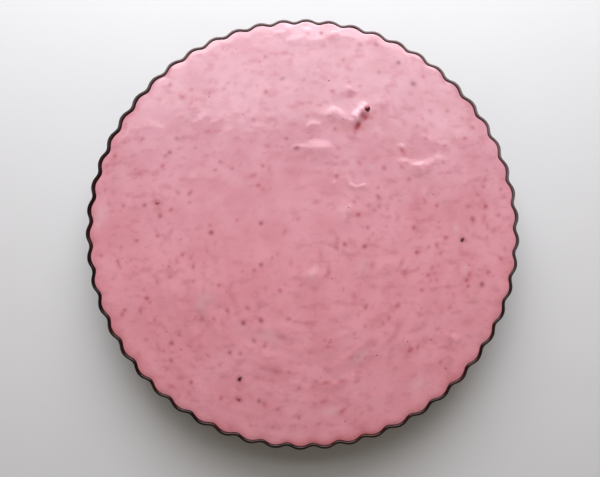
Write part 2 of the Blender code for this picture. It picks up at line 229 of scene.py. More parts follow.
RED_MARKS = (
    Mark(417.1, 252.2, 4.2), Mark(114.8, 156.3, 3.6), Mark(157.5, 202.5, 4.4), Mark(160.3, 215.8, 4.1),
    Mark(190.0, 193.0, 3.4, 1.8), Mark(189.7, 202.6, 2.8), Mark(178.3, 193.2, 3.0),
    Mark(170.8, 210.0, 3.4, 1.3), Mark(215.4, 170.0, 3.0), Mark(258.4, 185.4, 3.6),
    Mark(263.0, 189.2, 2.6), Mark(123.6, 205.8, 3.2), Mark(162.5, 166.0, 3.2, 1.4),
    Mark(170.3, 85.0, 3.6), Mark(183.0, 97.0, 3.3, 2.2), Mark(302.0, 103.6, 2.8, 3.0),
    Mark(310.0, 102.6, 2.6, 2.6), Mark(319.0, 105.4, 2.8, 2.2), Mark(423.4, 77.0, 3.2),
    Mark(472.6, 127.6, 3.7, 1.6), Mark(464.7, 138.2, 3.4), Mark(444.1, 145.8, 2.4),
    Mark(401.8, 149.8, 3.0), Mark(384.0, 168.2, 3.4), Mark(336.7, 176.3, 3.4), Mark(335.0, 129.0, 3.0),
    Mark(485.6, 206.4, 4.0), Mark(483.2, 186.8, 3.0), Mark(414.0, 227.4, 3.6),
    Mark(432.0, 267.8, 2.8, 1.6), Mark(428.2, 275.2, 3.4), Mark(488.0, 272.5, 3.6, 1.3),
    Mark(501.0, 258.6, 3.0), Mark(421.8, 290.2, 3.4), Mark(397.8, 305.4, 3.6, 1.8),
    Mark(298.2, 219.2, 2.8), Mark(237.0, 220.0, 2.8), Mark(136.8, 240.8, 3.2), Mark(157.6, 235.8, 3.4),
    Mark(182.5, 254.7, 3.4), Mark(117.4, 261.0, 3.0), Mark(101.0, 256.0, 2.8), Mark(169.0, 266.6, 3.0),
    Mark(169.7, 276.6, 2.8), Mark(254.2, 270.3, 3.2), Mark(280.0, 290.6, 3.4, 1.4),
    Mark(193.4, 281.6, 2.6), Mark(146.8, 298.2, 4.0), Mark(150.0, 302.4, 3.0),
    Mark(140.2, 311.2, 3.2, 1.8), Mark(247.6, 308.0, 3.2, 1.8), Mark(288.8, 319.2, 3.0, 1.6),
    Mark(213.8, 319.2, 3.0, 1.6), Mark(179.2, 334.6, 3.0), Mark(145.8, 339.6, 2.8),
    Mark(240.3, 353.6, 3.2), Mark(163.4, 351.2, 2.8), Mark(171.0, 360.6, 3.4), Mark(191.0, 382.5, 3.7),
    Mark(221.0, 398.0, 3.4), Mark(238.5, 399.0, 4.3, 1.8), Mark(289.0, 372.5, 3.0, 1.5),
    Mark(299.0, 388.0, 2.8), Mark(326.0, 383.0, 3.4, 3.2), Mark(358.0, 381.0, 2.4, 1.6),
    Mark(299.0, 418.0, 3.3), Mark(277.6, 409.0, 2.8), Mark(383.2, 323.4, 3.0), Mark(365.2, 326.2, 2.6),
    Mark(366.8, 305.4, 2.6, 2.4), Mark(440.6, 362.2, 3.2, 1.5), Mark(438.0, 329.0, 2.8),
    Mark(450.0, 307.4, 3.0), Mark(459.6, 341.4, 2.2, 2.0), Mark(353.0, 92.4, 2.2, 2.2),
    Mark(447.4, 110.8, 3.0), Mark(462.4, 118.6, 2.4, 1.5), Mark(425.8, 138.4, 2.8),
    Mark(354.2, 202.0, 3.0), Mark(500.8, 189.2, 3.0), Mark(330.0, 342.4, 2.8, 1.6),
    Mark(265.8, 91.8, 3.9), Mark(262.6, 165.8, 3.2), Mark(409.2, 179.0, 3.0, 1.5),
    Mark(436.8, 205.8, 3.2), Mark(478.0, 194.6, 2.8),
)

AMBER_MARKS = (
    Mark(446.0, 237.8, 3.6), Mark(410.2, 350.0, 4.2, 1.6), Mark(417.6, 346.9, 3.0, 2.0),
    Mark(466.7, 280.4, 4.0), Mark(124.6, 310.2, 3.6), Mark(122.0, 314.6, 3.2, 1.4),
    Mark(227.4, 310.6, 3.4, 2.0), Mark(219.0, 285.4, 3.2), Mark(332.6, 91.3, 3.4, 1.8),
    Mark(358.4, 214.8, 3.8), Mark(210.0, 225.2, 2.8),
)


def smooth_step(value: float) -> float:
    """Eases from 0 to 1 as the value runs from 0 to 1."""
    value = min(max(value, 0.0), 1.0)
    return value * value * (3.0 - 2.0 * value)


class Span(NamedTuple):
    """A stretch over which something comes in: where it starts, and its length."""

    start: float
    length: float

    def share(self, value: float) -> float:
        """How far something has come in at a value, from 0 to 1."""
        return smooth_step((value - self.start) / self.length)


@dataclass(frozen=True)
class Flutes:
    """The flutes round the tin, which its wall, its rim and the edge of the cream share."""

    count: int = 54
    swing: float = 1.0 * MM
    foot_swing: float = 0.75 * MM
    start: float = math.radians(-4.25)
    crest_breadth: float = 0.10
    points_each: int = 32

    @property
    def points(self) -> int:
        """How many points go once round the tin."""
        return self.count * self.points_each

    def wave(self, angle: float) -> float:
        """The flutes' wave: 1 on a crest, -1 in a valley, with the crests the broader."""
        turn = self.count * (angle - self.start)
        return math.cos(turn) + self.crest_breadth * (1.0 - math.cos(2.0 * turn))

    def reach(self, angle: float, share: float) -> float:
        """How far out the flutes stand at an angle, for a share of the way up the wall."""
        return (self.foot_swing + (self.swing - self.foot_swing) * share) * self.wave(angle)


class Ring(NamedTuple):
    """One ring of a fluted body: mean radius, height, and how much of the flutes it has."""

    radius: float
    height: float
    fluted: float = 1.0


@dataclass(frozen=True)
class TinShape:
    """The tin's sizes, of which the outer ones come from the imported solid."""

    rim_radius: float
    height: float
    flutes: Flutes
    flare: float = 0.31
    sheet: float = 0.73 * MM
    bead_width: float = 2.0 * MM
    foot_round: float = 1.0 * MM
    foot_ring_width: float = 9.0 * MM
    base_raise: float = 0.5 * MM
    base_sheet: float = 0.7 * MM

    @property
    def floor(self) -> float:
        """The height of the tin's floor."""
        return self.base_raise + self.base_sheet

    def inside(self, height: float) -> float:
        """The mean inner radius of the wall at a height."""
        top = self.rim_radius - self.flutes.swing - self.bead_width
        return top - self.flare * (self.height - height)

    def place(self, vert: bmesh.types.BMVert, ring: Ring) -> None:
        """Moves a point out to a fluted ring, at the angle where it already is.

        Args:
            vert: The point.
            ring: The ring.
        """
        angle = math.atan2(vert.co.y, vert.co.x)
        reach = ring.radius + ring.fluted * self.flutes.reach(angle, ring.height / self.height)
        vert.co = Vector((reach * math.cos(angle), reach * math.sin(angle), ring.height))


def draw_out(bm: bmesh.types.BMesh, shape: TinShape, rings: Iterable[Ring]) -> None:
    """Draws the open border of a mesh out through fluted rings and caps the last one.

    Args:
        bm: A mesh with one open border.
        shape: The tin's sizes, whose flutes the rings follow.
        rings: The rings in the order in which the border passes them.
    """
    for ring in rings:
        border = [edge for edge in bm.edges if edge.is_boundary]
        drawn = bmesh.ops.extrude_edge_only(bm, edges=border)["geom"]
        for part in drawn:
            if isinstance(part, bmesh.types.BMVert):
                shape.place(part, ring)
    bmesh.ops.contextual_create(bm, geom=[edge for edge in bm.edges if edge.is_boundary])


def add_piece(name: str, bm: bmesh.types.BMesh, nodes: Sequence[str] = ()) -> bpy.types.Object:
    """Turns a mesh into a piece of the tart that rides on its body.

    Args:
        name: The piece's name.
        bm: The mesh, already in place.
        nodes: The solids that the piece stands for.

    Returns:
        The new object.
    """
    mesh = bpy.data.meshes.new(name)
    bm.to_mesh(mesh)
    bm.free()
    mesh.shade_smooth()
    piece = bpy.data.objects.new(name, mesh)
    bpy.context.scene.collection.objects.link(piece)
    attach(piece, BODY)
    if nodes:
        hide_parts(*nodes)
    LOG.info("%s: %d faces", name, len(mesh.polygons))
    return piece


class Graph:
    """A material's node tree, with short calls for the nodes that the finishes use."""

    def __init__(self, name: str) -> None:
        """Starts a material with one Principled shader.

        Args:
            name: The material's name.
        """
        self.material = bpy.data.materials.new(name)
        self.material.use_nodes = True
        self.tree = self.material.node_tree
        self.shader = self.tree.nodes["Principled BSDF"]

    def add(self, kind: str, **values: object) -> bpy.types.Node:
        """Adds a node and sets its properties, or the inputs of that name.

        Args:
            kind: The node's type name without its ShaderNode prefix.
            values: Property or input names, with underscores for spaces, and their values.

        Returns:
            The new node.
        """
        node = self.tree.nodes.new("ShaderNode" + kind)
        for name, value in values.items():
            if name in node.bl_rna.properties:
                setattr(node, name, value)
            else:
                node.inputs[name.replace("_", " ")].default_value = value
        return node

    def link(self, source: Socket, target: Socket) -> None:
        """Joins two sockets."""
        self.tree.links.new(source, target)

    def set(self, **values: object) -> None:
        """Sets uniform values on the shader's own sockets."""
        for name, value in values.items():
            self.shader.inputs[name.replace("_", " ")].default_value = value

    def see_through(self, share: float, depth: float, reach: Triple) -> None:
        """Lets a share of the light in to a depth in metres, with its own reach for red, green and blue."""
        self.set(Subsurface_Weight=share, Subsurface_Scale=depth, Subsurface_Radius=reach)

    def places(self, scale: Triple = EVEN) -> Socket:
        """Reads the object coordinates.

        Args:
            scale: What they are multiplied by along each axis.

        Returns:
            The scaled coordinates.
        """
        coordinates = self.add("TexCoord")
        mapping = self.add("Mapping", Scale=scale)
        self.link(coordinates.outputs["Object"], mapping.inputs["Vector"])
        return mapping.outputs["Vector"]

    def noise(self, size: float, detail: float = 2.0, roughness: float = 0.5,
              scale: Triple = EVEN) -> Socket:
        """Makes noise on the object coordinates.

        Args:
            size: About how many metres its features are across.
            detail: How many finer layers it has.
            roughness: How strong the finer layers are.
            scale: How much narrower its features are along each axis.

        Returns:
            Values about 0.5.
        """
        node = self.add("TexNoise", Scale=1.0 / size, Detail=detail, Roughness=roughness)
        self.link(self.places(scale), node.inputs["Vector"])
        return node.outputs["Fac"]

    def spread(self, value: Socket, low: float, high: float, to_low: float = 0.0,
               to_high: float = 1.0) -> Socket:
        """Maps a value from one range to another with soft ends.

        Args:
            value: The value.
            low: Where its range starts.
            high: Where its range ends.
            to_low: What it becomes at the start.
            to_high: What it becomes at the end.

        Returns:
            The mapped value.
        """
        node = self.add("MapRange", interpolation_type='SMOOTHSTEP', From_Min=low, From_Max=high,
                        To_Min=to_low, To_Max=to_high)
        self.link(value, node.inputs["Value"])
        return node.outputs["Result"]

    def waver(self, size: float, ends: Pair, detail: float = 2.0) -> Socket:
        """A value that wavers between two others, with features about so many metres across."""
        return self.spread(self.noise(size, detail), 0.3, 0.7, *ends)

    def attribute(self, name: str) -> Socket:
        """A number that the mesh carries at its points."""
        return self.add("Attribute", attribute_name=name).outputs["Fac"]

    def combine(self, operation: str, first: Socket, second: Socket | float) -> Socket:
        """Combines two values.

        Args:
            operation: The Math node's operation.
            first: The first value.
            second: The second value, or a plain number.

        Returns:
            The result.
        """
        node = self.add("Math", operation=operation)
        self.link(first, node.inputs[0])
        if isinstance(second, float):
            node.inputs[1].default_value = second
        else:
            self.link(second, node.inputs[1])
        return node.outputs[0]

    def times(self, first: Socket, second: Socket | float) -> Socket:
        """The product of two values."""
        return self.combine('MULTIPLY', first, second)

    def plus(self, first: Socket, second: Socket | float) -> Socket:
        """The sum of two values."""
        return self.combine('ADD', first, second)

    def mix(self, share: Socket, first: Socket | Colour, second: Socket | Colour) -> Socket:
        """Mixes two colours.

        Args:
            share: How much of the second shows, from 0 to 1.
            first: The first colour.
            second: The second colour.

        Returns:
            The colour between them.
        """
        node = self.add("Mix", data_type='RGBA')
        self.link(share, node.inputs[0])
        for socket, colour in ((node.inputs[6], first), (node.inputs[7], second)):
            if isinstance(colour, tuple):
                socket.default_value = (*colour, 1.0)
            else:
                self.link(colour, socket)
        return node.outputs[2]

    def colour(self, value: Socket) -> None:
        """Gives the shader its colour."""
        self.link(value, self.shader.inputs["Base Color"])

    def roughness(self, value: Socket) -> None:
        """Gives the shader its roughness."""
        self.link(value, self.shader.inputs["Roughness"])

    def bump(self, value: Socket, depth: float) -> None:
        """Gives the shader a fine relief.

        Args:
            value: The relief's height, from 0 to 1.
            depth: How many metres that is.
        """
        node = self.add("Bump", Distance=depth)
        self.link(value, node.inputs["Height"])
        self.link(node.outputs["Normal"], self.shader.inputs["Normal"])


@dataclass(frozen=True)
class NonStickFinish:
    """Dark brown-black non-stick coating with a satin gloss, its rim worn lighter in scuffs and given a
    painted sheen that lightens it most on the far side.
    """

    dark: Colour = (0.006, 0.002, 0.003)
    brown: Colour = (0.026, 0.007, 0.006)
    worn: Colour = (0.052, 0.026, 0.023)
    # Painted sheen: a lighter colour for the rim, strongest on the far side towards the light, standing in
    # for its reflection there.
    painted_sheen: Colour = (0.225, 0.162, 0.166)
    sheen: Colour = (1.0, 0.78, 0.74)
    wear_depth: float = 1.2 * MM
    scuff: float = 5.0 * MM
    scuff_share: float = 0.5
    painted_sheen_from: float = -30.0 * MM
    painted_sheen_to: float = 135.0 * MM
    painted_sheen_towards: float = math.radians(72.0)
    grain: float = 0.9 * MM
    grain_depth: float = 0.006 * MM
    cloud: float = 24.0 * MM
    gloss: Pair = (0.16, 0.26)
    gloss_cloud: float = 9.0 * MM

    def material(self, top: float) -> bpy.types.Material:
        """Makes the coating.

        Args:
            top: The height of the rim, below which it is worn.

        Returns:
            The material.
        """
        graph = Graph("dark_nonstick_coating")
        tint = graph.mix(graph.spread(graph.noise(self.cloud), 0.35, 0.65), self.dark, self.brown)
        place = graph.add("SeparateXYZ")
        graph.link(graph.places(), place.inputs["Vector"])
        rim = graph.spread(place.outputs["Z"], top - self.wear_depth, top)
        scuffs = graph.spread(graph.noise(self.scuff, 4.0, 0.7), 0.55, 0.75, 0.0, self.scuff_share)
        body = graph.mix(graph.times(rim, scuffs), tint, self.worn)
        # Painted sheen: the rim turns lighter towards the far side, where the light is.
        along_x = graph.times(place.outputs["X"], math.cos(self.painted_sheen_towards))
        along_y = graph.times(place.outputs["Y"], math.sin(self.painted_sheen_towards))
        painted_sheen = graph.spread(graph.plus(along_x, along_y), self.painted_sheen_from, self.painted_sheen_to)
        graph.colour(graph.mix(graph.times(rim, painted_sheen), body, self.painted_sheen))
        graph.roughness(graph.waver(self.gloss_cloud, self.gloss, 3.0))
        graph.bump(graph.noise(self.grain), self.grain_depth)
        graph.set(IOR=1.40, Specular_Tint=(*self.sheen, 1.0))
        return graph.material


class Blotches(NamedTuple):
    """Darker blotches in the cream: size, narrowing along each axis, range of the noise, strength."""

    size: float
    scale: Triple
    low: float
    high: float
    strength: float


@dataclass(frozen=True)
class CreamFinish:
    """Set berry cream: soft pink, faintly see-through, glossy, with fruit blurred just below its skin, and
    with painted light and painted shade in its colour.
    """

    pale: Colour = (0.775, 0.408, 0.486)
    deep: Colour = (0.703, 0.330, 0.398)
    # Painted light and shade: near is a redder, more saturated colour for the near side, standing in for
    # the sheen and light that the cream gets less of there.
    near: Colour = (1.0, 0.262, 0.295)
    # Painted shade: rim is the redder, darker colour for the cream by the wall.
    rim: Colour = (0.720, 0.200, 0.225)
    speck: Colour = (0.560, 0.165, 0.205)
    tints: tuple[tuple[Tint, Colour], ...] = (
        # The first two are painted light and painted shade; juice and ink are stains of fruit.
        (Tint.PAINTED_LIGHT, (0.870, 0.530, 0.600)),
        (Tint.PAINTED_SHADE, (0.600, 0.240, 0.245)),
        (Tint.JUICE, (0.475, 0.056, 0.082)),
        (Tint.INK, (0.285, 0.036, 0.068)),
    )
    cloud: float = 22.0 * MM
    blotches: tuple[Blotches, ...] = (
        Blotches(7.0 * MM, (0.80, 1.30, 1.0), 0.48, 0.78, 0.42),
        Blotches(2.6 * MM, (0.85, 1.20, 1.0), 0.58, 0.76, 0.22),
    )
    streak_share: float = 0.45
    painted_near_share: float = 0.30
    painted_near_from: float = 110.0 * MM
    painted_near_to: float = -60.0 * MM
    calm_at: Triple = (-32.0 * MM, 10.0 * MM, 28.0 * MM)
    calm_from: float = 15.0 * MM
    calm_to: float = 64.0 * MM
    calm_share: float = 0.35
    gloss: Pair = (0.07, 0.13)
    gloss_cloud: float = 9.0 * MM
    grazing_haze: float = 0.38
    dents: float = 6.0 * MM
    pores: float = 1.8 * MM
    pore_share: float = 0.2
    relief: float = 0.038 * MM
    light_share: float = 0.2
    light_depth: float = 1.6 * MM
    light_reach: Triple = (1.0, 0.35, 0.35)

    def material(self) -> bpy.types.Material:
        """Makes the cream's finish.

        Returns:
            The material.
        """
        graph = Graph("pink_berry_cream")
        body = graph.mix(graph.spread(graph.noise(self.cloud, 3.0, 0.55), 0.30, 0.70), self.pale, self.deep)
        place = graph.add("SeparateXYZ")
        graph.link(graph.places(), place.inputs["Vector"])
        # Painted light and shade: the cream turns towards the near colour on the side away from the window.
        near = graph.spread(place.outputs["Y"], self.painted_near_from, self.painted_near_to, 0.0, self.painted_near_share)
        body = graph.mix(near, body, self.near)
        streaks = graph.spread(graph.attribute("streak"), 0.05, 0.75, 0.0, self.streak_share)
        body = graph.mix(streaks, body, self.speck)
        # Painted shade: the cream turns redder and darker by the wall, where it curves away from the light.
        body = graph.mix(graph.attribute("wall_shade"), body, self.rim)
        away = graph.add("VectorMath", operation='DISTANCE')
        graph.link(graph.places(), away.inputs[0])
        away.inputs[1].default_value = self.calm_at
        lively = graph.spread(away.outputs["Value"], self.calm_from, self.calm_to, self.calm_share, 1.0)
        for blotch in self.blotches:
            pattern = graph.noise(blotch.size, scale=blotch.scale)
            share = graph.spread(pattern, blotch.low, blotch.high, 0.0, blotch.strength)
            body = graph.mix(graph.times(share, lively), body, self.speck)
        for tint, colour in self.tints:
            body = graph.mix(graph.attribute(tint.value), body, colour)
        graph.colour(body)
        gloss = graph.waver(self.gloss_cloud, self.gloss)
        grazing = graph.add("LayerWeight", Blend=0.5).outputs["Facing"]
        graph.roughness(graph.plus(gloss, graph.spread(grazing, 0.38, 0.68, 0.0, self.grazing_haze)))
        pores = graph.times(graph.noise(self.pores), self.pore_share)
        graph.bump(graph.plus(graph.noise(self.dents), pores), self.relief)
        graph.set(IOR=1.5)
        graph.see_through(self.light_share, self.light_depth, self.light_reach)
        return graph.material


@dataclass(frozen=True)
class FruitFinish:
    """Wet bits of fruit, each veiled by a film of cream that thickens towards its outline."""

    kind: FruitKind
    flesh: Colour
    skin: Colour
    film: Colour = (0.560, 0.185, 0.235)
    mottle: float = 0.8 * MM
    wrinkle: float = 0.5 * MM
    wrinkle_depth: float = 0.04 * MM
    gloss: Pair = (0.22, 0.36)
    gloss_cloud: float = 0.7 * MM
    light_share: float = 0.1
    light_depth: float = 1.0 * MM
    light_reach: Triple = (1.0, 0.3, 0.3)

    def material(self) -> bpy.types.Material:
        """Makes the fruit's finish.

        Returns:
            The material.
        """
        graph = Graph(self.kind.value + "_fruit")
        body = graph.mix(graph.spread(graph.noise(self.mottle), 0.35, 0.65), self.flesh, self.skin)
        graph.colour(graph.mix(graph.attribute("film"), body, self.film))
        graph.roughness(graph.waver(self.gloss_cloud, self.gloss, 1.0))
        graph.bump(graph.noise(self.wrinkle), self.wrinkle_depth)
        graph.set(IOR=1.45)
        graph.see_through(self.light_share, self.light_depth, self.light_reach)
        return graph.material


FRUIT_FINISHES = (
    FruitFinish(FruitKind.DARK, flesh=(0.045, 0.010, 0.024), skin=(0.110, 0.022, 0.042),
                film=(0.46, 0.15, 0.21)),
    FruitFinish(FruitKind.RED, flesh=(0.260, 0.026, 0.038), skin=(0.360, 0.055, 0.065)),
    FruitFinish(FruitKind.AMBER, flesh=(0.360, 0.062, 0.036), skin=(0.450, 0.110, 0.060)),
)


@dataclass(frozen=True)
class BerryFinish:
    """A wet dark berry: a nearly black tip, purple and red drupelets, a film of cream over its flank."""

    black: Colour = (0.135, 0.017, 0.030)
    purple: Colour = (0.130, 0.020, 0.055)
    red: Colour = (0.300, 0.028, 0.038)
    film: Colour = (0.560, 0.185, 0.235)
    wrinkle: float = 0.5 * MM
    wrinkle_depth: float = 0.03 * MM
    gloss: Pair = (0.40, 0.52)
    gloss_cloud: float = 1.5 * MM
    light_share: float = 0.1
    light_depth: float = 1.0 * MM
    light_reach: Triple = (1.0, 0.2, 0.3)

    def material(self) -> bpy.types.Material:
        """Makes the berry's finish.

        Returns:
            The material.
        """
        graph = Graph("dark_berry_skin")
        body = graph.mix(graph.spread(graph.attribute("ripe"), 0.1, 0.6), self.red, self.purple)
        body = graph.mix(graph.spread(graph.attribute("ripe"), 0.7, 0.95), body, self.black)
        graph.colour(graph.mix(graph.attribute("film"), body, self.film))
        graph.roughness(graph.waver(self.gloss_cloud, self.gloss))
        graph.bump(graph.noise(self.wrinkle), self.wrinkle_depth)
        graph.set(IOR=1.5)
        graph.see_through(self.light_share, self.light_depth, self.light_reach)
        return graph.material


@dataclass(frozen=True)
class FloorFinish:
    """A plain pale matte surface."""

    light: Colour = (0.80, 0.79, 0.80)
    shade: Colour = (0.77, 0.76, 0.77)
    cloud: float = 60.0 * MM

    def material(self) -> bpy.types.Material:
        """Makes the floor's finish.

        Returns:
            The material.
        """
        graph = Graph("pale_floor")
        graph.colour(graph.mix(graph.noise(self.cloud), self.light, self.shade))
        graph.set(Roughness=0.8)
        return graph.material


@dataclass
class FlutedTin:
    """The tin: base, flared wall and rolled rim, of which only the rim shows from above."""

    shape: TinShape
    corner_steps: int = 5
    bead_steps: int = 12
    wall_rings: int = 6
    corner_sweep: Pair = (-90.0, 73.0)
    bead_sweep: Pair = (-80.0, 250.0)
    step_width: float = 0.5 * MM
    foot_inset: float = 1.2 * MM
    middle_inset: float = 0.6 * MM
    crease: float = math.radians(60.0)

    def outside(self) -> list[Ring]:
        """Lays out the base and the outside of the wall.

        Returns:
            The rings from the raised base out over the foot ring and up the wall to the rim.
        """
        shape = self.shape
        corner = shape.foot_round
        foot_edge = shape.inside(corner) + shape.sheet - corner
        raised = foot_edge - shape.foot_ring_width
        rings = [
            Ring(raised - self.step_width, 0.9 * shape.base_raise, 0.0),
            Ring(raised, 0.15 * shape.base_raise, 0.0),
            Ring(raised + self.step_width, 0.0, 0.0),
            Ring(foot_edge - self.foot_inset, 0.0, 0.8),
        ]
        start, sweep = self.corner_sweep
        for step in range(self.corner_steps + 1):
            turn = math.radians(start + sweep * step / self.corner_steps)
            rings.append(Ring(foot_edge + corner * math.cos(turn), corner * (1.0 + math.sin(turn))))
        under_bead = shape.height - shape.bead_width
        for step in range(1, self.wall_rings + 1):
            height = corner + (under_bead - corner) * step / self.wall_rings
            rings.append(Ring(shape.inside(height) + shape.sheet, height))
        return rings

    def bead(self) -> list[Ring]:
        """Lays out the rolled rim.

        Returns:
            The rings round it, from under its outer side over the top to the inside.
        """
        shape = self.shape
        radius = 0.5 * shape.bead_width
        middle = shape.rim_radius - shape.flutes.swing - radius
        start, sweep = self.bead_sweep
        rings = []
        for step in range(self.bead_steps + 1):
            turn = math.radians(start + sweep * step / self.bead_steps)
            height = shape.height - radius + radius * math.sin(turn)
            rings.append(Ring(middle + radius * math.cos(turn), height))
        return rings

    def inner(self) -> list[Ring]:
        """Lays out the inside of the wall.

        Returns:
            The rings from the rim down to the floor of the tin.
        """
        shape = self.shape
        heights = (shape.height - shape.bead_width, 0.5 * shape.height, shape.floor)
        return [Ring(shape.inside(height), height) for height in heights]

    def build(self) -> bpy.types.Object:
        """Makes the tin in the place of its solid.

        Returns:
            The tin.
        """
        shape = self.shape
        bm = bmesh.new()
        turn = Matrix.Rotation(shape.flutes.start, 4, 'Z')
        bmesh.ops.create_circle(bm, cap_ends=True, segments=shape.flutes.points, radius=1.0, matrix=turn)
        outside = self.outside()
        start = Ring(outside[0].radius - self.middle_inset, shape.base_raise, 0.0)
        for vert in bm.verts:
            shape.place(vert, start)
        draw_out(bm, shape, outside + self.bead() + self.inner())
        bmesh.ops.recalc_face_normals(bm, faces=bm.faces)
        tin = add_piece("fluted_tin", bm, ["tart_tin"])
        tin.data.set_sharp_from_angle(angle=self.crease)
        tin.data.materials.append(NonStickFinish().material(shape.height))
        return tin


@dataclass(frozen=True)
class Crest:
    """A ridge laid out on the cream, in metres."""

    start: Vector
    run: Vector
    width: float
    height: float
    lee: float

    def lift(self, x: float, y: float) -> float:
        """Works out how far the ridge lifts the cream at a place.

        Args:
            x: The place along X.
            y: The place along Y.

        Returns:
            The lift, which fades over the ridge's width and a little towards its ends.
        """
        dx, dy = x - self.start.x, y - self.start.y
        past_middle = abs(dx - 0.5 * self.run.x) + abs(dy - 0.5 * self.run.y)
        if past_middle > self.run.length + 4.0 * self.width * self.lee:
            return 0.0
        share = (dx * self.run.x + dy * self.run.y) / max(self.run.length_squared, 1e-9)
        share = min(max(share, 0.0), 1.0)
        away = math.hypot(dx - share * self.run.x, dy - share * self.run.y)
        near = smooth_step(0.5 - 0.5 * (dy - share * self.run.y) / max(away, 1e-9))
        width = self.width * (1.0 + (self.lee - 1.0) * near)
        return self.height * math.exp(-(away / width) ** 2) * (1.0 - 0.5 * (2.0 * share - 1.0) ** 4)


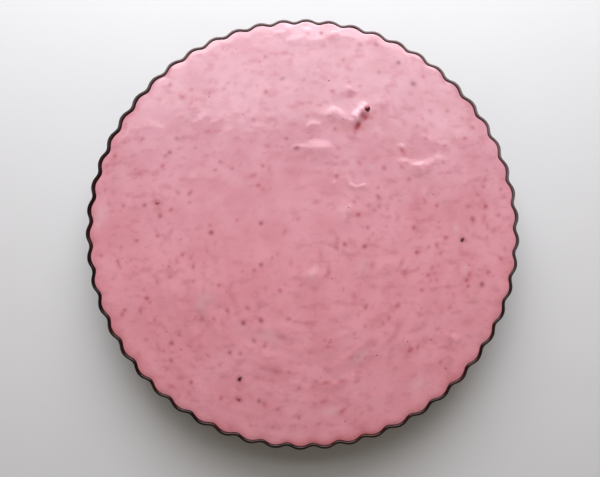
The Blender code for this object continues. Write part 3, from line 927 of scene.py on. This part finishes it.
@dataclass
class CreamSurface:
    """The top of the cream: nearly level, swelling, rounded down to the wall, with ridges and spatula arcs.

    The spatula's marks run round a middle of their own. They are deepest on the near side, shallower on the
    right and by the far rim, and nearly flat between there and the middle.
    """

    shape: TinShape
    place: Callable[[float, float, float], Vector]
    level: float = 29.5 * MM
    tilt: float = 0.30 * MM
    edge_drop: float = 0.20 * MM
    edge_width: float = 7.0 * MM
    lip_drop: float = 0.25 * MM
    lip_width: float = 2.4 * MM
    dip_drop: float = 0.45 * MM
    dip_at: float = math.radians(155.0)
    swell_height: float = 0.45 * MM
    swell_length: float = 48.0 * MM
    arc_middle: Pair = (-0.5 * MM, -24.0 * MM)
    arc_height: float = 0.25 * MM
    arc_spacing: float = 9.0 * MM
    arc_turns: float = 2.2
    arc_wander: float = 25.0 * MM
    least_depth: float = 0.10
    right_depth: float = 0.2
    far_rim_depth: float = 0.3
    near_arcs: Span = Span(-10.0 * MM, 60.0 * MM)
    right_arcs: Span = Span(20.0 * MM, 60.0 * MM)
    far_rim_arcs: Span = Span(100.0 * MM, 22.0 * MM)
    round_middle: Span = Span(12.0 * MM, 30.0 * MM)
    calm_side: Span = Span(25.0 * MM, 35.0 * MM)
    outer_side: Span = Span(95.0 * MM, 25.0 * MM)
    dimple_height: float = 0.09 * MM
    dimple_length: float = 7.0 * MM
    dimple_calm: Span = Span(20.0 * MM, 40.0 * MM)
    warp: float = 0.9 * MM
    warp_length: float = 5.0 * MM
    # Painted shade by the wall: how patchy it is, and how much of it the far side gets.
    wall_shade_length: float = 30.0 * MM
    far_wall_shade: float = 0.1

    def __post_init__(self) -> None:
        """Lays the ridges out on the cream."""
        self.crests = []
        for ridge in RIDGES:
            start = self.place(ridge.u0, ridge.v0, self.level)
            run = self.place(ridge.u1, ridge.v1, self.level) - start
            self.crests.append(Crest(start, run, ridge.width * MM, ridge.height * MM, ridge.lee))

    def rim_share(self, x: float, y: float, width: float) -> float:
        """Works out how near to the fluted wall a place is.

        Args:
            x: The place along X.
            y: The place along Y.
            width: How far from the wall it starts to count.

        Returns:
            0 beyond that width, rising to 1 at the wall.
        """
        flutes = self.shape.flutes.reach(math.atan2(y, x), self.level / self.shape.height)
        gap = self.shape.inside(self.level) + flutes - math.hypot(x, y)
        return min(max(1.0 - gap / width, 0.0), 1.0) ** 2

    def painted_wall_shade(self, x: float, y: float) -> float:
        """Works out the painted shade that makes the cream redder and darker by the wall, most on the near
        side, where it curves down away from the light.

        Args:
            x: The place along X.
            y: The place along Y.

        Returns:
            The painted shade, from 0 to 1.
        """
        patchy = 0.6 + 0.9 * noise.noise(Vector((x, y, 5.0)) / self.wall_shade_length)
        near = smooth_step(0.5 - 0.8 * y / self.shape.rim_radius)
        strength = self.far_wall_shade + (1.0 - self.far_wall_shade) * near
        return min(max(patchy, 0.3), 1.0) * strength * self.rim_share(x, y, self.edge_width)

    def level_at(self, x: float, y: float) -> float:
        """Works out the height of the cream without its ridges and arcs.

        Args:
            x: The place along X.
            y: The place along Y.

        Returns:
            The height, lowest where the cream has sunk by the wall.
        """
        dip = max(math.cos(math.atan2(y, x) - self.dip_at), 0.0) ** 6
        edge = (self.edge_drop + self.dip_drop * dip) * self.rim_share(x, y, self.edge_width)
        lip = self.lip_drop * self.rim_share(x, y, self.lip_width)
        swell = self.swell_height * noise.noise(Vector((x, y, 0.0)) / self.swell_length)
        return self.level + self.tilt * y / self.shape.inside(self.level) + swell - edge - lip

    def ridges_at(self, x: float, y: float) -> float:
        """Works out how far the ridges lift the cream, with their crests a little uneven.

        Args:
            x: The place along X.
            y: The place along Y.

        Returns:
            The lift in metres.
        """
        spot = Vector((x, y, 0.0)) / self.warp_length
        x += self.warp * noise.noise(spot)
        y += self.warp * noise.noise(spot + Vector((9.0, 4.0, 2.0)))
        return sum(crest.lift(x, y) for crest in self.crests)

    def streak(self, x: float, y: float) -> float:
        """Works out the marks of the spatula, long along its arcs.

        Args:
            x: The place along X.
            y: The place along Y.

        Returns:
            The marks, from about -1 to 1.
        """
        dx, dy = x - self.arc_middle[0], y - self.arc_middle[1]
        reach = math.hypot(dx, dy)
        wander = 0.25 * self.arc_spacing * noise.noise(Vector((x, y, 3.0)) / self.arc_wander)
        round_about = self.arc_turns / max(reach, MM)
        spot = Vector(((reach + wander) / self.arc_spacing, dx * round_about, dy * round_about))
        return noise.noise(spot) + 0.5 * noise.noise(2.1 * spot)

    def streak_depth(self, x: float, y: float) -> float:
        """Works out how deep the spatula's marks are.

        Args:
            x: The place along X.
            y: The place along Y.

        Returns:
            Their depth, from 0 to about 1.
        """
        dx, dy = x - self.arc_middle[0], y - self.arc_middle[1]
        near = self.near_arcs.share(-dy)
        right = self.right_arcs.share(dx)
        far_rim = self.far_rim_arcs.share(y)
        middle = self.round_middle.share(math.hypot(dx, dy))
        calm = self.calm_side.share(y) * (1.0 - far_rim)
        outer = 0.5 * self.outer_side.share(math.hypot(x, y)) * (1.0 - far_rim)
        most = max(near, self.right_depth * right)
        depth = self.least_depth + (1.0 - self.least_depth) * most + self.far_rim_depth * far_rim
        return depth * middle * (1.0 - calm) * (1.0 - outer)

    def height(self, x: float, y: float) -> float:
        """Works out the height of the cream's top.

        Args:
            x: The place along X.
            y: The place along Y.

        Returns:
            The height in metres.
        """
        calm = 1.0 - 0.5 * self.dimple_calm.share(y)
        dimples = calm * self.dimple_height * noise.noise(Vector((x, y, 0.02)) / self.dimple_length)
        arcs = self.arc_height * self.streak(x, y) * self.streak_depth(x, y)
        smoothed = 1.0 - 0.8 * self.rim_share(x, y, self.edge_width)
        return self.level_at(x, y) + self.ridges_at(x, y) + (arcs + dimples) * smoothed


class Stain(NamedTuple):
    """A soft patch of colour in the cream, mostly fruit under its skin, some of it painted light and
    painted shade: its place, half length and width, heading and strength.
    """

    x: float
    y: float
    length: float
    width: float
    heading: float
    strength: float

    def veil(self, x: float, y: float) -> float:
        """Works out how much of the cream the stain leaves clear.

        Args:
            x: The place along X.
            y: The place along Y.

        Returns:
            1 for clear cream, less over the stain.
        """
        dx, dy = x - self.x, y - self.y
        along = (dx * math.cos(self.heading) + dy * math.sin(self.heading)) / self.length
        across = (dy * math.cos(self.heading) - dx * math.sin(self.heading)) / self.width
        return 1.0 - self.strength * math.exp(-along * along - across * across)


@dataclass
class CreamFilling:
    """The cream that fills the tin, with its top in fine relief."""

    surface: CreamSurface
    cells: int = 308
    overlap: float = 0.10 * MM
    brim_overlap: float = 0.45 * MM
    far_gap: float = 0.88 * MM
    far_gap_at: float = math.radians(160.0)
    side_gap: float = 0.45 * MM
    side_gap_at: float = math.radians(45.0)
    ragged: float = 0.36 * MM
    ragged_pitch: float = 14.0
    floor_gap: float = 0.3 * MM
    brim_depth: float = 2.0 * MM
    flutes_fade: int = 12
    crease: float = math.radians(60.0)
    stain_cell: float = 4.0 * MM
    stain_reach: float = 2.2

    def to_disc(self, a: float, b: float) -> Pair:
        """Carries a point of the square from -1 to 1 onto the round disc.

        Args:
            a: The point along the square's first side.
            b: The point along its second side.

        Returns:
            Its share of the disc's radius, and its angle.
        """
        if abs(a) > abs(b):
            share, angle = a, 0.25 * math.pi * b / a
        elif b:
            share, angle = b, 0.5 * math.pi - 0.25 * math.pi * a / b
        else:
            share, angle = 0.0, 0.0
        return (share, angle) if share >= 0.0 else (-share, angle + math.pi)

    def gap(self, angle: float) -> float:
        """Works out how far the cream's top edge stands back round the wall.

        Args:
            angle: The angle round the tin.

        Returns:
            The gap in metres, a little ragged.
        """
        far = max(math.cos(angle - self.far_gap_at), 0.0) ** 4
        side = max(math.cos(angle - self.side_gap_at), 0.0)
        ragged = noise.noise(Vector((math.cos(angle), math.sin(angle), 0.0)) * self.ragged_pitch)
        return self.far_gap * far + self.side_gap * side + self.ragged * ragged

    def build(self, stains: dict[Tint, list[Stain]]) -> bpy.types.Object:
        """Makes the cream in the place of its solid.

        Args:
            stains: The stains of each colour, painted light and painted shade among them.

        Returns:
            The cream.
        """
        surface, shape = self.surface, self.surface.shape
        bm = bmesh.new()
        bmesh.ops.create_grid(bm, x_segments=self.cells, y_segments=self.cells, size=1.0)
        edge_level = surface.level - surface.edge_drop - surface.lip_drop
        mean = shape.inside(edge_level) + self.brim_overlap
        for vert in bm.verts:
            share, angle = self.to_disc(vert.co.x, vert.co.y)
            flutes = shape.flutes.reach(angle, edge_level / shape.height)
            reach = share * (mean - self.gap(angle) + share ** self.flutes_fade * flutes)
            x, y = reach * math.cos(angle), reach * math.sin(angle)
            vert.co = Vector((x, y, surface.height(x, y)))
        heights = (edge_level - self.brim_depth, 0.5 * shape.height, shape.floor + self.floor_gap)
        draw_out(bm, shape, [Ring(shape.inside(height) + self.overlap, height) for height in heights])
        bmesh.ops.recalc_face_normals(bm, faces=bm.faces)
        cream = add_piece("berry_cream_filling", bm, ["berry_cream"])
        cream.data.set_sharp_from_angle(angle=self.crease)
        for tint, some in stains.items():
            self.write(cream, tint.value, self.stained(cream, some))
        spots = [(vert.co.x, vert.co.y) for vert in cream.data.vertices]
        # Painted shade by the wall, carried by the cream's points.
        self.write(cream, "wall_shade", [surface.painted_wall_shade(*spot) for spot in spots])
        streaks = [surface.streak(*spot) * min(surface.streak_depth(*spot), 1.0) for spot in spots]
        self.write(cream, "streak", streaks)
        cream.data.materials.append(CreamFinish().material())
        return cream

    def write(self, cream: bpy.types.Object, name: str, values: Sequence[float]) -> None:
        """Writes a value for each of the cream's points as a named attribute."""
        cream.data.attributes.new(name, 'FLOAT', 'POINT').data.foreach_set("value", values)

    def stained(self, cream: bpy.types.Object, stains: Iterable[Stain]) -> list[float]:
        """Works out how much the stains cover each of the cream's points.

        Args:
            cream: The cream.
            stains: The stains.

        Returns:
            A share for each point, 0 for clear cream.
        """
        cell = self.stain_cell
        near: dict[tuple[int, int], list[Stain]] = {}
        for stain in stains:
            reach = 1 + int(self.stain_reach * stain.length / cell)
            for i in range(-reach, reach + 1):
                for j in range(-reach, reach + 1):
                    near.setdefault((int(stain.x // cell) + i, int(stain.y // cell) + j), []).append(stain)
        shares = []
        for vert in cream.data.vertices:
            clear = 1.0
            if vert.co.z > 0.8 * self.surface.level:
                for stain in near.get((int(vert.co.x // cell), int(vert.co.y // cell)), ()):
                    clear *= stain.veil(vert.co.x, vert.co.y)
            shares.append(1.0 - clear)
        return shares


class Bit(NamedTuple):
    """One bit of fruit on the cream: place, length and width in metres, heading, and its film of cream."""

    x: float
    y: float
    length: float
    width: float
    heading: float
    film: float


class Strewn(NamedTuple):
    """Fruit strewn under the skin of the cream: how many bits, the strength of the clearest, a seed."""

    number: int
    strongest: float
    seed: int


@dataclass
class FruitBits:
    """All the fruit in the cream: bits that poke out of it, and bits that only show through its skin.

    Marks from the size poking on stand out of the cream, and from the size bare on they have no film over
    them. Every mark stains the cream too, the more the larger it is.
    """

    surface: CreamSurface
    pixel: float = 0.65 * MM
    small_counts: tuple[tuple[FruitKind, int], ...] = (
        (FruitKind.DARK, 8), (FruitKind.RED, 30), (FruitKind.AMBER, 6),
    )
    small_length: Pair = (0.8 * MM, 1.3 * MM)
    small_breadth: Pair = (0.5, 0.9)
    small_film: Pair = (0.6, 0.85)
    poking: float = 4.3
    bare: float = 4.5
    veiled_size: float = 0.8
    veil: Pair = (0.45, 0.65)
    longest: float = 1.6
    sway: float = 0.35
    loose_sway: float = 0.7
    lumpy: float = 0.45
    lumps: float = 2.2
    flatness: float = 0.5
    bare_cap: Span = Span(0.35, 0.6)
    fine_from: float = 1.6 * MM
    sunk_depth: float = 0.2
    stain_width: float = 0.42
    stain_blur: float = 0.4 * MM
    faintest_size: float = 1.2
    strength_each: float = 0.26
    strongest: float = 0.85
    painted_patch_strength: float = 0.36
    lump_height: float = 0.5 * MM
    sunk_juice: Strewn = Strewn(560, 0.42, 5)
    sunk_ink: Strewn = Strewn(150, 0.24, 6)
    sunk_width: Pair = (0.5 * MM, 1.6 * MM)
    sunk_stretch: Pair = (1.0, 2.2)
    sunk_strength: Pair = (0.15, 1.0)
    sunk_faintness: float = 1.8
    spread: float = 134.0 * MM
    cluster: float = 26.0 * MM
    crowding: float = 1.1
    seed: int = 4

    def tangent(self, x: float, y: float) -> float:
        """The heading along the spatula's arcs at a place."""
        middle = self.surface.arc_middle
        return math.atan2(y - middle[1], x - middle[0]) + 0.5 * math.pi

    def placed(self, marks: Iterable[Mark], draw: random.Random) -> list[Bit]:
        """Lays out the larger bits that the photograph shows one by one.

        Args:
            marks: The marks, of which the small ones only stain the cream.
            draw: The seeded draw.

        Returns:
            The bits, all but the largest under a film of cream.
        """
        bits = []
        for mark in marks:
            if mark.size >= self.poking:
                spot = self.surface.place(mark.u, mark.v, self.surface.level)
                bare = mark.size >= self.bare
                width = (1.0 if bare else self.veiled_size) * mark.size * self.pixel
                heading = self.tangent(spot.x, spot.y) + draw.uniform(-self.sway, self.sway)
                film = 0.0 if bare else draw.uniform(*self.veil)
                length = width * min(mark.stretch, self.longest)
                bits.append(Bit(spot.x, spot.y, length, width, heading, film))
        return bits

    def scatter(self, count: int, draw: random.Random) -> list[Triple]:
        """Draws places at random, thicker in some parts of the cream.

        Args:
            count: How many.
            draw: The seeded draw.

        Returns:
            Each place and a heading near the spatula's arcs.
        """
        places = []
        while len(places) < count:
            angle = draw.uniform(0.0, 2.0 * math.pi)
            reach = self.spread * math.sqrt(draw.random())
            x, y = reach * math.cos(angle), reach * math.sin(angle)
            crowd = 0.5 + self.crowding * noise.noise(Vector((x, y, 0.3)) / self.cluster)
            if draw.random() < crowd:
                places.append((x, y, self.tangent(x, y) + draw.uniform(-self.loose_sway, self.loose_sway)))
        return places

    def strewn(self, count: int, draw: random.Random) -> list[Bit]:
        """Draws small bits at random.

        Args:
            count: How many.
            draw: The seeded draw.

        Returns:
            The bits.
        """
        bits = []
        for x, y, heading in self.scatter(count, draw):
            length = draw.uniform(*self.small_length)
            width = length * draw.uniform(*self.small_breadth)
            bits.append(Bit(x, y, length, width, heading, draw.uniform(*self.small_film)))
        return bits

    def gather(self) -> dict[FruitKind, list[Bit]]:
        """Lays out all the bits that poke out, in one seeded order.

        Returns:
            The bits of each kind.
        """
        draw = random.Random(self.seed)
        marks = {FruitKind.DARK: DARK_MARKS, FruitKind.RED: RED_MARKS, FruitKind.AMBER: AMBER_MARKS}
        bits = {}
        for kind, count in self.small_counts:
            bits[kind] = self.placed(marks[kind], draw) + self.strewn(count, draw)
        return bits

    def build(self, finish: FruitFinish, bits: Iterable[Bit]) -> bpy.types.Object:
        """Makes the bits of one kind as one piece of rough little pebbles, mostly sunk in the cream.

        Args:
            finish: The finish of that kind.
            bits: Its bits.

        Returns:
            The piece.
        """
        bm = bmesh.new()
        film = bm.verts.layers.float.new("film")
        for bit in bits:
            rounds = 3 if bit.length > self.fine_from else 2
            verts = bmesh.ops.create_icosphere(bm, subdivisions=rounds, radius=0.5)["verts"]
            for vert in verts:
                spot = vert.co * self.lumps + Vector((bit.x, bit.y, 0.0)) / MM
                vert.co *= 1.0 + self.lumpy * noise.noise(spot)
                vert[film] = 1.0 - (1.0 - bit.film) * self.bare_cap.share(2.0 * vert.co.z)
            depth = self.flatness * bit.width
            bmesh.ops.scale(bm, verts=verts, vec=Vector((bit.length, bit.width, depth)))
            bmesh.ops.rotate(bm, verts=verts, cent=(0, 0, 0), matrix=Matrix.Rotation(bit.heading, 3, 'Z'))
            middle = self.surface.height(bit.x, bit.y) - self.sunk_depth * depth
            bmesh.ops.translate(bm, verts=verts, vec=Vector((bit.x, bit.y, middle)))
        piece = add_piece(finish.kind.value + "_fruit_bits", bm)
        piece.data.materials.append(finish.material())
        return piece

    def stains(self, marks: Iterable[Mark]) -> list[Stain]:
        """Lays out the colour of marked fruit in the cream, drawn out along the arcs.

        Args:
            marks: The marks.

        Returns:
            Their stains, stronger for larger marks.
        """
        stains = []
        for mark in marks:
            spot = self.surface.place(mark.u, mark.v, self.surface.level)
            width = self.stain_width * mark.size * self.pixel + self.stain_blur
            strength = min(self.strength_each * (mark.size - self.faintest_size), self.strongest)
            heading = self.tangent(spot.x, spot.y)
            stains.append(Stain(spot.x, spot.y, width * mark.stretch ** 0.7, width, heading, strength))
        return stains

    def patches(self, marks: Iterable[Mark], strength: float, heading: float | None = None,
                height: float = 0.0) -> list[Stain]:
        """Lays out marked patches of another colour, as wide as their marks, among them the painted light
        and painted shade.

        Args:
            marks: The marks.
            strength: How strong their colour is.
            heading: Which way they are drawn out, or None for along the spatula's arcs.
            height: How far above the cream's level they lie.

        Returns:
            Their stains.
        """
        stains = []
        for mark in marks:
            spot = self.surface.place(mark.u, mark.v, self.surface.level + height)
            width = 0.5 * mark.size * self.pixel
            turn = self.tangent(spot.x, spot.y) if heading is None else heading
            stains.append(Stain(spot.x, spot.y, width * mark.stretch, width, turn, strength))
        return stains

    def sunk(self, strewn: Strewn) -> list[Stain]:
        """Draws fruit under the skin of the cream at random, most of it faint.

        Args:
            strewn: How much of it there is.

        Returns:
            Its stains.
        """
        draw = random.Random(strewn.seed)
        stains = []
        for x, y, heading in self.scatter(strewn.number, draw):
            width = draw.uniform(*self.sunk_width)
            length = width * draw.uniform(*self.sunk_stretch)
            strength = strewn.strongest * draw.uniform(*self.sunk_strength) ** self.sunk_faintness
            stains.append(Stain(x, y, length, width, heading, strength))
        return stains

    def colours(self, berry_heading: float) -> dict[Tint, list[Stain]]:
        """Lays out all that shows through the skin of the cream, with the painted light and painted shade
        laid on it.

        Args:
            berry_heading: The heading of the sunk berry, whose colours are drawn out along it.

        Returns:
            The stains of each colour.
        """
        stains = {
            Tint.PAINTED_LIGHT: self.patches(PAINTED_LIGHT_PATCHES, self.painted_patch_strength),
            Tint.PAINTED_SHADE: self.patches(PAINTED_SHADE_PATCHES, self.painted_patch_strength),
            Tint.JUICE: self.stains(RED_MARKS + AMBER_MARKS) + self.sunk(self.sunk_juice),
            Tint.INK: self.stains(DARK_MARKS) + self.sunk(self.sunk_ink),
        }
        for blot in BERRY_BLOTS:
            stains[blot.tint] += self.patches(blot.marks, blot.strength, berry_heading, self.lump_height)
        return stains


@dataclass
class SunkBerry:
    """The berry that lies on its side under a lump of cream, with its tip and open flank showing."""

    middle: Vector = Vector((38.4 * MM, 71.6 * MM, 26.4 * MM))
    tip: Vector = Vector((42.2 * MM, 77.5 * MM, 29.1 * MM))
    tip_radius: float = 2.35 * MM
    heading: float = math.radians(57.0)
    tilt: float = math.radians(14.0)
    length: float = 17.0 * MM
    width: float = 6.8 * MM
    drupelet: float = 1.9 * MM
    leans: tuple[float, ...] = (-78.0, -30.0, 18.0)
    stagger: float = 24.0
    end_room: float = 2.4
    slimming: float = 1.4
    sizes: Pair = (0.86, 1.0)
    ripeness_sway: float = 0.03
    film_shares: Pair = (0.9, 1.0)
    creep: Span = Span(0.15, 0.70)
    # Where the paler film, a painted sheen, lies on the tip's side towards the light.
    lit_side_film: Span = Span(-0.25, 0.65)
    films: tuple[float, ...] = (0.30, 0.88, 0.95, 0.85, 0.60)
    seed: int = 3

    def grow(self, bm: bmesh.types.BMesh, seat: Vector, size: float, ripeness: float,
             covered: float) -> list[bmesh.types.BMVert]:
        """Adds one drupelet.

        Args:
            bm: The berry's mesh.
            seat: The drupelet's middle.
            size: Its radius.
            ripeness: How dark it is, from red at 0 to black at 1.
            covered: How thick the film of cream on it is.

        Returns:
            The drupelet's points.
        """
        made = bmesh.ops.create_icosphere(bm, subdivisions=3, radius=size)["verts"]
        bmesh.ops.translate(bm, verts=made, vec=seat)
        ripe, film = bm.verts.layers.float["ripe"], bm.verts.layers.float["film"]
        for vert in made:
            vert[ripe] = ripeness
            vert[film] = covered
        return made

    def tip_film(self, outwards: Vector) -> float:
        """Works out how thick the film of cream on the tip is.

        Args:
            outwards: The direction from the tip's middle.

        Returns:
            The film, which creeps up all round the tip and most from its left, the side towards the light,
            where its paler colour is also a painted sheen.
        """
        creep = 1.0 - self.creep.share(outwards.z)
        # Painted sheen: a paler film laid on the tip's side towards the light.
        side = 0.80 * self.lit_side_film.share(0.85 * outwards.y - 0.5 * outwards.x)
        return 0.9 * max(creep, side)

    def build(self) -> bpy.types.Object:
        """Makes the berry in the place of its solid.

        Returns:
            The berry.
        """
        across = Vector((-math.sin(self.heading), math.cos(self.heading), 0.0))
        level = math.cos(self.tilt)
        along = Vector((level * across.y, -level * across.x, math.sin(self.tilt)))
        upwards = along.cross(across)
        bm = bmesh.new()
        bm.verts.layers.float.new("ripe")
        bm.verts.layers.float.new("film")
        draw = random.Random(self.seed)
        span = self.length - self.end_room * self.drupelet
        ring = 0.5 * self.width - self.drupelet
        for row, covered in enumerate(self.films):
            place = row / len(self.films) - 0.5
            taper = 1.0 - self.slimming * place * place
            for lean in self.leans:
                angle = math.radians(lean + self.stagger * (row % 2))
                outwards = across * math.sin(angle) + upwards * math.cos(angle)
                seat = self.middle + along * span * place + outwards * ring * taper
                size = self.drupelet * draw.uniform(*self.sizes)
                ripeness = 0.5 + place + draw.uniform(-self.ripeness_sway, self.ripeness_sway)
                self.grow(bm, seat, size, ripeness, covered * draw.uniform(*self.film_shares))
        film = bm.verts.layers.float["film"]
        for vert in self.grow(bm, self.tip, self.tip_radius, 1.0, 0.0):
            vert[film] = self.tip_film((vert.co - self.tip) / self.tip_radius)
        piece = add_piece("half_sunk_berry", bm, ["sunk_berry"])
        piece.data.materials.append(BerryFinish().material())
        return piece


@dataclass(frozen=True)
class Panel:
    """One soft light panel: its middle, size and brightness, and its turns in degrees from facing down."""

    name: str
    middle: Triple
    size: Pair
    glow: float
    lean: float = 0.0
    swing: float = 0.0
    tint: Colour = (0.945, 0.962, 1.0)


@dataclass
class Studio:
    """The camera at the photograph's viewing angle, soft light from the far side and a plain pale floor."""

    focal_pixels: float = 450.0
    frame_size: tuple[int, int] = (600, 477)
    sensor: float = 36.0
    nearest: float = 10.0 * MM
    stand: Vector = Vector((-4.4 * MM, -35.5 * MM, 317.9 * MM))
    pitch: float = math.radians(5.28)
    pan: float = math.radians(-0.445)
    sky: Colour = (0.170, 0.153, 0.127)
    panels: tuple[Panel, ...] = (
        Panel("window_top", (0.0, 0.683, 0.649), (1.0, 0.31), 5.4, lean=-56.0),
        Panel("window_foot", (0.0, 0.840, 0.416), (1.0, 0.25), 8.4, lean=-56.0),
        Panel("curtain", (-0.20, 0.54, 0.93), (0.84, 0.28), 2.58, swing=3.0),
        Panel("curtain_side", (0.352, 0.5025, 0.93), (0.30, 0.28), 2.58, swing=-32.0),
    )
    floor_reach: float = 2.0
    floor_gap: float = 0.05 * MM

    def view(self) -> Matrix:
        """The camera's place and turn."""
        turn = Matrix.Rotation(self.pitch, 4, 'X') @ Matrix.Rotation(self.pan, 4, 'Y')
        return Matrix.Translation(self.stand) @ turn

    def on_level(self, u: float, v: float, height: float) -> Vector:
        """Finds the place on a level plane that a pixel of the photograph shows.

        Args:
            u: Pixels from the frame's left side.
            v: Pixels from its top.
            height: The plane's height in metres.

        Returns:
            The place.
        """
        across = (u - 0.5 * self.frame_size[0]) / self.focal_pixels
        up = (0.5 * self.frame_size[1] - v) / self.focal_pixels
        ray = self.view().to_3x3() @ Vector((across, up, -1.0))
        return self.stand + ray * ((height - self.stand.z) / ray.z)

    def camera(self) -> None:
        """Sets up the camera."""
        lens = bpy.data.cameras.new("photo_camera")
        lens.sensor_width = self.sensor
        lens.lens = self.sensor * self.focal_pixels / self.frame_size[0]
        lens.clip_start = self.nearest
        camera = bpy.data.objects.new("photo_camera", lens)
        camera.matrix_world = self.view()
        bpy.context.scene.collection.objects.link(camera)
        bpy.context.scene.camera = camera

    def hang(self, panel: Panel) -> None:
        """Hangs one soft light panel.

        Args:
            panel: The panel.
        """
        light = bpy.data.lights.new(panel.name, 'AREA')
        light.shape = 'RECTANGLE'
        light.size, light.size_y = panel.size
        light.energy = panel.glow * math.pi * panel.size[0] * panel.size[1]
        light.color = panel.tint
        lamp = bpy.data.objects.new(panel.name, light)
        swing = Matrix.Rotation(math.radians(panel.swing), 4, 'Z')
        lean = Matrix.Rotation(math.radians(panel.lean), 4, 'X')
        lamp.matrix_world = Matrix.Translation(panel.middle) @ swing @ lean
        bpy.context.scene.collection.objects.link(lamp)

    def surroundings(self) -> None:
        """Gives the room its soft light, and colours that come out as they are."""
        world = bpy.data.worlds.new("soft_room")
        world.use_nodes = True
        background = world.node_tree.nodes["Background"]
        background.inputs["Color"].default_value = (*self.sky, 1.0)
        bpy.context.scene.world = world
        bpy.context.scene.view_settings.view_transform = 'Standard'

    def floor(self) -> None:
        """Lays the floor under the tin."""
        bm = bmesh.new()
        bmesh.ops.create_grid(bm, x_segments=1, y_segments=1, size=self.floor_reach)
        bmesh.ops.translate(bm, verts=bm.verts, vec=Vector((0.0, 0.0, -self.floor_gap)))
        mesh = bpy.data.meshes.new("floor")
        bm.to_mesh(mesh)
        bm.free()
        mesh.materials.append(FloorFinish().material())
        floor = bpy.data.objects.new("floor", mesh)
        bpy.context.scene.collection.objects.link(floor)

    def build(self) -> None:
        """Sets up the camera, the light and the floor."""
        self.camera()
        for panel in self.panels:
            self.hang(panel)
        self.surroundings()
        self.floor()


def main() -> None:
    """Builds the studio and the tart's pieces in order."""
    logging.basicConfig(level=logging.INFO, format="%(name)s %(message)s")
    low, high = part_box("tart_tin")
    shape = TinShape(rim_radius=0.5 * (high.y - low.y), height=high.z - low.z, flutes=Flutes())
    studio = Studio()
    studio.build()
    FlutedTin(shape).build()
    surface = CreamSurface(shape, studio.on_level)
    fruit = FruitBits(surface)
    bits = fruit.gather()
    for finish in FRUIT_FINISHES:
        fruit.build(finish, bits[finish.kind])
    berry = SunkBerry()
    berry.build()
    CreamFilling(surface).build(fruit.colours(berry.heading))


if __name__ == "__main__":
    main()
